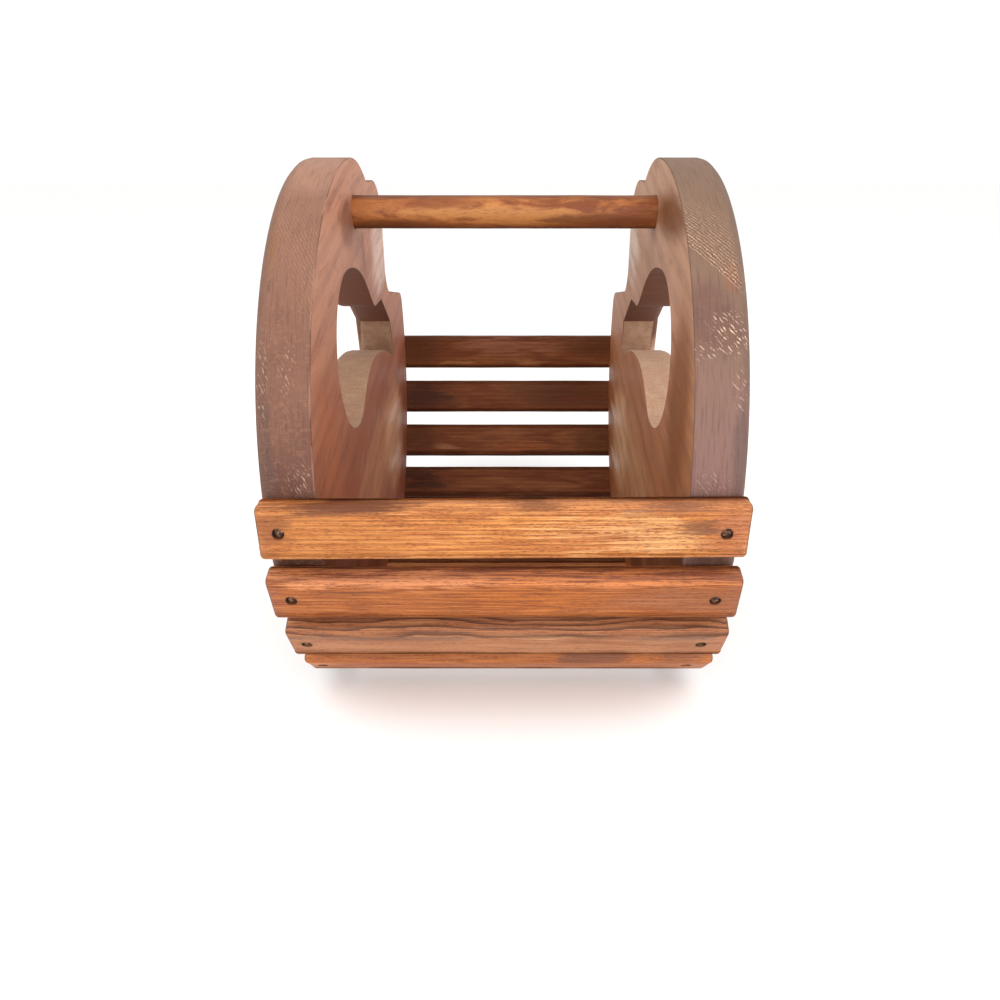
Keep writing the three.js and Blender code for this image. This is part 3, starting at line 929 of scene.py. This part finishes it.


# %% [markdown]
# ## The sawn rims
# The stain lies thinner on the sawn rim than on the faces. Dark lines run along it and pale, bare ones
# across it. The rounded outer corner is greyer, which is painted shade where the rounding turns away from
# the light. A thin line follows the inner arris, pale in some places and dark in others; on the left panel
# its pale parts are a painted highlight. All of it is drawn on the rim as if it were unrolled: along the
# cut, and across it.

# %% Side board, band-sawn rim
def sawn_rim(name, top, low, scratch, ridge, fresh, corner, arris, strokes, patches, flecks):
    """Dull and streaky, paler where the saw tore the fibres."""
    material, add = start_material(name)
    place = add("TexCoord", out="Object")
    sawn = add("UVMap", uv_map="sawn")
    depth = add("SeparateXYZ", {0: sawn}).node.outputs["Y"]
    height = add("SeparateXYZ", {0: place}).node.outputs["Z"]
    cloud = add("TexNoise", {"Vector": place, "Scale": per_mm(26)[0], "Detail": 4}, "Fac")
    mottle = add("TexNoise", {"Vector": place, "Scale": per_mm(2)[0], "Detail": 4, "Roughness": 0.7}, "Fac")
    cut = grain(add, sawn, (0.8, 8, 1), roughness=0.65)
    strip = grain(add, sawn, (16, 0.8, 1), roughness=0.65)
    dark = add("MapRange", {0: strip, 1: 0.46, 2: 0.72, 4: 0.45}, **SOFT)
    dust = add("MapRange", {0: mottle, 1: 0.48, 2: 0.68, 4: 0.3}, **SOFT)
    bare = add("MapRange", {0: cut, 1: 0.44, 2: 0.28, 4: 0.3}, **SOFT)
    ground, grooves, peaks, broken = saw_strokes(add, sawn, cloud, mottle, **strokes)
    # The greyer rounded outer corner is painted shade.
    rounded = add("MapRange", {0: depth, 1: 19.5 * MM, 2: 22.5 * MM, 4: 0.4}, **SOFT)
    chipped = add("Math", {0: mottle, 1: 1.2 * MM, 2: depth}, operation="MULTIPLY_ADD")
    sharp = add("MapRange", {0: chipped, 1: 0.7 * MM, 2: 1.5 * MM, 3: 0.3, 4: 0}, **SOFT)
    # Along the inner arris, noise spots choose between the scratch and arris tints; the left panel's pale
    # arris tint is a painted highlight.
    arris_spots = add("MapRange", {0: cloud, 1: 0.5, 2: 0.62})
    lift = add("Math", {0: cloud, 1: 100 * MM, 2: height}, operation="MULTIPLY_ADD")
    upper = add("MapRange", {0: lift, 1: 160 * MM, 2: 320 * MM}, **SOFT)

    colour = add("Mix", {0: upper, 6: linear(low), 7: linear(top)}, **TINT)
    for patch in patches:
        colour = stain_and_light_patch(add, sawn, cloud, colour, *patch)
    for share, tint in ((dark, scratch), (bare, ridge), (dust, ridge), (ground, ridge), (grooves, scratch),
                        (peaks, fresh), (rounded, corner)):
        colour = add("Mix", {0: share, 6: colour, 7: linear(tint)}, **TINT)
    edge = add("Mix", {0: arris_spots, 6: linear(scratch), 7: linear(arris)}, **TINT)
    colour = add("Mix", {0: sharp, 6: colour, 7: edge}, **TINT)
    for patch in flecks:
        flecked = stain_and_light_patch(add, sawn, cloud, colour, *patch)
        colour = add("Mix", {0: broken, 6: colour, 7: flecked}, **TINT)
    relief = add("Math", {0: grooves, 1: dark}, operation="ADD")
    return coat(material, add, colour, 0.65, 0.25, relief, strength=0.5, depth=0.2)


# %% [markdown]
# ## Inside the cut-outs
# The scroll saw's blade left fine lines straight across the thickness, drawn 0.8 mm wide so that they
# show. The walls are pale, where the stain was wiped off, and the faces that look down, under the arch,
# are darkened with painted shade.

# %% Side board, scroll-sawn wall
def sawn_wall(name, tone, scratch, pale, ceiling_shade):
    """Pale, dry and gritty, with lines across the thickness."""
    material, add = start_material(name)
    coordinates = add("TexCoord").node.outputs
    place = coordinates["Object"]
    sawn = add("UVMap", uv_map="sawn")
    cloud = add("TexNoise", {"Vector": place, "Scale": per_mm(9)[0], "Detail": 4, "Roughness": 0.6}, "Fac")
    worn = add("MapRange", {0: cloud, 1: 0.4, 2: 0.68, 4: 0.5}, **SOFT)
    line = grain(add, sawn, (0.8, 14, 1), roughness=0.6)
    lines = add("MapRange", {0: line, 1: 0.45, 2: 0.72, 4: 0.4}, **SOFT)
    grit = add("TexNoise", {"Vector": place, "Scale": per_mm(1.1)[0], "Detail": 2}, "Fac")
    grains = add("MapRange", {0: grit, 1: 0.5, 2: 0.68, 4: 0.4}, **SOFT)
    # The faces that look down, under the arch, are picked here by their normal and darkened: painted shade.
    across = add("VectorMath", {0: coordinates["Normal"], 1: (0, 1, 1)}, operation="MULTIPLY")
    across = add("VectorMath", {0: across}, operation="NORMALIZE")
    slope = add("SeparateXYZ", {0: across}).node.outputs["Z"]
    slope = add("Math", {0: cloud, 1: 0.3, 2: slope}, operation="MULTIPLY_ADD")
    overhead = add("MapRange", {0: slope, 1: 0, 2: -0.4}, **SOFT)

    colour = add("Mix", {0: worn, 6: linear(tone), 7: linear(pale)}, **TINT)
    for share, tint in ((grains, scratch), (overhead, ceiling_shade), (lines, scratch)):
        colour = add("Mix", {0: share, 6: colour, 7: linear(tint)}, **TINT)
    return coat(material, add, colour, 0.65, 0.2, lines, strength=0.4, depth=0.15)


# %% [markdown]
# ## Each panel's own look
# The two sides took the stain differently: the left one is redder, the right one browner, with plainer
# saw strokes. Inside, both are darker beside the handle's ends, partly stain and partly painted shade, and
# the crest carries a pale painted reflection. Low at the back they are painted lighter, as painted light
# for the light that reaches in there, with pale streaks of painted light where it falls through the gaps
# between the back slats. Low in front they are darkened with painted shade, and so is the rim where it
# shows between the front slats. A face's patches are placed front to back and up, in mm, and a rim's
# along the cut from the foot in front and across from the inner edge.

# %% Each panel's own look
PANEL_LOOKS = {
    "left_panel": dict(
        face=dict(top="#c0886c", low="#9a583c", late="#70402e", pale="#cf9a80", shift=(0.16, 0.3, -0.05),
                  patches=[
                      # First: darker beside the handle's end, partly stain and partly painted shade. Second:
                      # a pale painted reflection on the crest.
                      ((-38, 243), (24, 17), "#74432f", 0.7), ((60, 216), (36, 30), "#e0c2b2", 0.85),
                      ((2, 224), (6, 16), "#8a5c4e", 0.5), ((-125, 130), (30, 60), "#b0673f", 0.6),
                      # Low at the back: painted lighter, painted light for the light that reaches in there.
                      ((20, 84), (105, 42), "#c58a62", 0.75), ((75, 84), (50, 45), "#dca880", 0.8),
                      # Two pale streaks at the heights of the gaps between the back slats: painted light
                      # falling through them.
                      ((84, 99), (30, 6), "#ecd2c0", 0.5), ((78, 66), (30, 6), "#ecd2c0", 0.5),
                      # Low in front: dark patches of painted shade, behind and between the front slats.
                      ((-135, 90), (48, 24), "#451a0a", 0.65), ((-88, 66), (48, 24), "#451a0a", 0.65),
                      ((-38, 38), (52, 24), "#451a0a", 0.65)]),
        outside=dict(top="#a37259", low="#88523a", late="#663a2a", pale="#b98269", shift=(0.05, 0.2, 0.02)),
        rim=dict(top="#805a48", low="#5a372c", scratch="#463028", ridge="#93694f", fresh="#ab8068",
                 # corner: painted shade on the rounded outer corner; arris: a pale painted highlight along
                 # the inner arris.
                 corner="#64493d", arris="#c39a84",
                 strokes=dict(angle=-63, start=98, stop=124, fade=16, share=0.25),
                 patches=[((268, 20.5), (20, 2.6), "#7a5028", 0.5), ((170, 20), (40, 4), "#4f3c38", 0.5),
                          # The last patch, dark and low in front where the rim shows between the front
                          # slats, is painted shade.
                          ((338, 12), (46, 22), "#b78a72", 0.4), ((105, 12), (38, 18), "#40220f", 0.75)],
                 flecks=[((158, 4), (10, 8), "#c9ad9f", 0.45), ((200, 22), (30, 4), "#b8a090", 0.45),
                         ((200, 10), (20, 5), "#c9a898", 0.35)]),
        wall=dict(tone="#96735b", scratch="#6e513d", pale="#a4856c", ceiling_shade="#6a4030")),
    "right_panel": dict(
        face=dict(top="#b28668", low="#a86a3e", late="#68402a", pale="#c49a7c", shift=(-0.15, 0.8, -0.02),
                  patches=[
                      # First: darker beside the handle's end, partly stain and partly painted shade. Second:
                      # a pale painted reflection on the crest.
                      ((-64, 248), (48, 14), "#6c3a0c", 0.9), ((66, 222), (36, 30), "#d0b9aa", 0.75),
                      ((-80, 205), (20, 20), "#c0937a", 0.6), ((-120, 165), (30, 60), "#7c430d", 0.8),
                      # Low at the back: painted lighter, painted light for the light that reaches in there.
                      ((20, 84), (105, 42), "#c4915f", 0.75), ((75, 84), (50, 45), "#dcae84", 0.8),
                      # Two pale streaks at the heights of the gaps between the back slats: painted light
                      # falling through them.
                      ((112, 89), (30, 6), "#e8d2c0", 0.5), ((98, 56), (30, 6), "#e8d2c0", 0.5),
                      # Low in front: dark patches of painted shade, behind and between the front slats.
                      ((-135, 90), (48, 24), "#42190a", 0.7), ((-88, 66), (48, 24), "#42190a", 0.7),
                      ((-34, 36), (52, 24), "#42190a", 0.7)]),
        outside=dict(top="#a0745a", low="#865436", late="#60402a", pale="#b58c70", shift=(-0.05, 0.5, 0.03)),
        rim=dict(top="#745a48", low="#7b5a54", scratch="#43302a", ridge="#7a5a46", fresh="#c8a486",
                 # corner: painted shade on the rounded outer corner.
                 corner="#645046", arris="#5a3c2e",
                 strokes=dict(angle=49, start=174.8, stop=194, fade=0.8, share=0.72),
                 patches=[((228, 10), (24, 16), "#64443a", 0.7), ((165, 21), (26, 4), "#564442", 0.6),
                          # The last patch, dark and low in front where the rim shows between the front
                          # slats, is painted shade.
                          ((250, 19), (12, 6), "#8e5638", 0.5), ((105, 12), (38, 18), "#40220f", 0.75)],
                 flecks=[((222, 17), (15, 10), "#e6cab0", 0.65), ((214, 6), (5, 9), "#d8bca6", 0.6),
                         ((198, 20), (13, 5), "#d0b4a4", 0.4), ((156, 10), (7, 12), "#c0a79d", 0.3)]),
        wall=dict(tone="#b18c71", scratch="#84634c", pale="#c09e87", ceiling_shade="#684232")),
}
for name, piece in panels.items():
    look = PANEL_LOOKS[name]
    piece.data.materials.append(stained_face(f"stained board, {name} inside", **look["face"]))
    piece.data.materials.append(stained_face(f"stained board, {name} outside", **look["outside"]))
    piece.data.materials.append(sawn_rim(f"band-sawn board, {name} rim", **look["rim"]))
    piece.data.materials.append(sawn_wall(f"scroll-sawn board, {name} cut-out", **look["wall"]))
print("panels: faces, rim and cut-out each have a finish")

# %% [markdown]
# ## The handle's varnish
# The dowel took the stain in ragged patches, red-brown towards the ends, under a thin varnish. A golden
# band along the middle of its height and length is a painted highlight from the light in front, and its
# top and underside are darkened with painted shade. Its fibres are drawn about 0.6 mm wide, coarser than
# real ones, so that they show.

# %% Dowel, stained and varnished
# The first patch, a golden band along the middle of the dowel's height, is a painted highlight.
ROD_PATCHES_AND_HIGHLIGHT = [((0, 0), (62, 6.5), "#b1753e", 0.8), ((-38, 5), (20, 3), "#753d1e", 0.75),
               ((56, -3.5), (34, 4.5), "#66351b", 0.8), ((-62, -6), (30, 3), "#5c3016", 0.7)]

material, add = start_material("varnished dowel")
place = add("TexCoord", out="Object")
own = add("Mapping", {"Vector": place, "Location": -(rod_low + rod_high) / 2})
axes = add("SeparateXYZ", {0: own}).node.outputs
front = add("CombineXYZ", {0: axes["X"], 1: axes["Z"]})
blotch = grain(add, own, (30, 8, 8), detail=5, roughness=0.6, distortion=0.5)
stain = add("MapRange", {0: blotch, 1: 0.42, 2: 0.62}, **SOFT)
fibre = grain(add, own, (4, 0.6, 0.6), roughness=0.65)
dashes = add("MapRange", {0: fibre, 1: 0.5, 2: 0.72, 4: 0.5}, **SOFT)
# The top and the underside of the dowel are darkened here: painted shade, with the light falling from in
# front.
ragged = add("Math", {0: blotch, 1: 4 * MM, 2: axes["Z"]}, operation="MULTIPLY_ADD")
upper = add("MapRange", {0: ragged, 1: 0.85 * rod_radius, 2: 1.25 * rod_radius, 4: 0.75}, **SOFT)
under = add("MapRange", {0: axes["Z"], 1: -0.6 * rod_radius, 2: -rod_radius, 4: 0.8}, **SOFT)

colour = add("Mix", {0: stain, 6: linear("#a26132"), 7: linear("#773e1e")}, **TINT)
for patch in ROD_PATCHES_AND_HIGHLIGHT:
    colour = stain_and_light_patch(add, front, blotch, colour, *patch, tear=3)
for share, tint in ((upper, "#5c3218"), (under, "#4b240e"), (dashes, "#582a0f")):
    colour = add("Mix", {0: share, 6: colour, 7: linear(tint)}, **TINT)
rod.data.materials.append(coat(material, add, colour, 0.5, 0.25, dashes, strength=0.25, depth=0.12))
print("handle: stained and varnished")

# %% [markdown]
# ## Nails and floor
# The nails are dull steel, brushed over with the stain and brown with rust, with specks of bare, shinier
# steel whose pale colour is a painted glint. The floor is matt white paper.

# %% Rusty steel, and the floor
material, add = start_material("rusty steel nail, stained over")
place = add("TexCoord", out="Object")
pitting = add("TexNoise", {"Vector": place, "Scale": per_mm(2.2)[0], "Detail": 2, "Roughness": 0.6}, "Fac")
rust = add("MapRange", {0: pitting, 1: 0.44, 2: 0.52}, **SOFT)
# Specks of bare steel, more metallic and smoother; their pale colour is a painted glint.
bare_speck_and_glint = add("MapRange", {0: pitting, 1: 0.36, 2: 0.32}, **SOFT)
colour = add("Mix", {0: rust, 6: linear("#6e4426"), 7: linear("#24140b")}, **TINT)
colour = add("Mix", {0: bare_speck_and_glint, 6: colour, 7: linear("#d9bd94")}, **TINT)
metal = add("MapRange", {0: bare_speck_and_glint, 3: 0.05, 4: 0.7})
rough = add("MapRange", {0: bare_speck_and_glint, 3: 0.8, 4: 0.4})
bump = add("Bump", {"Strength": 0.8, "Distance": 0.3 * MM, "Height": pitting})
shader = add("BsdfPrincipled", {"Base Color": colour, "Metallic": metal, "Roughness": rough,
                                "Normal": bump})
add("OutputMaterial", {"Surface": shader})
for piece in nails.values():
    piece.data.materials.append(material)

material, add = start_material("white paper floor")
shader = add("BsdfPrincipled", {"Base Color": linear("#fbfbfa"), "Roughness": 0.9,
                                "Specular IOR Level": 0.1})
add("OutputMaterial", {"Surface": shader})
floor.data.materials.append(material)
print("nails and floor: finished")
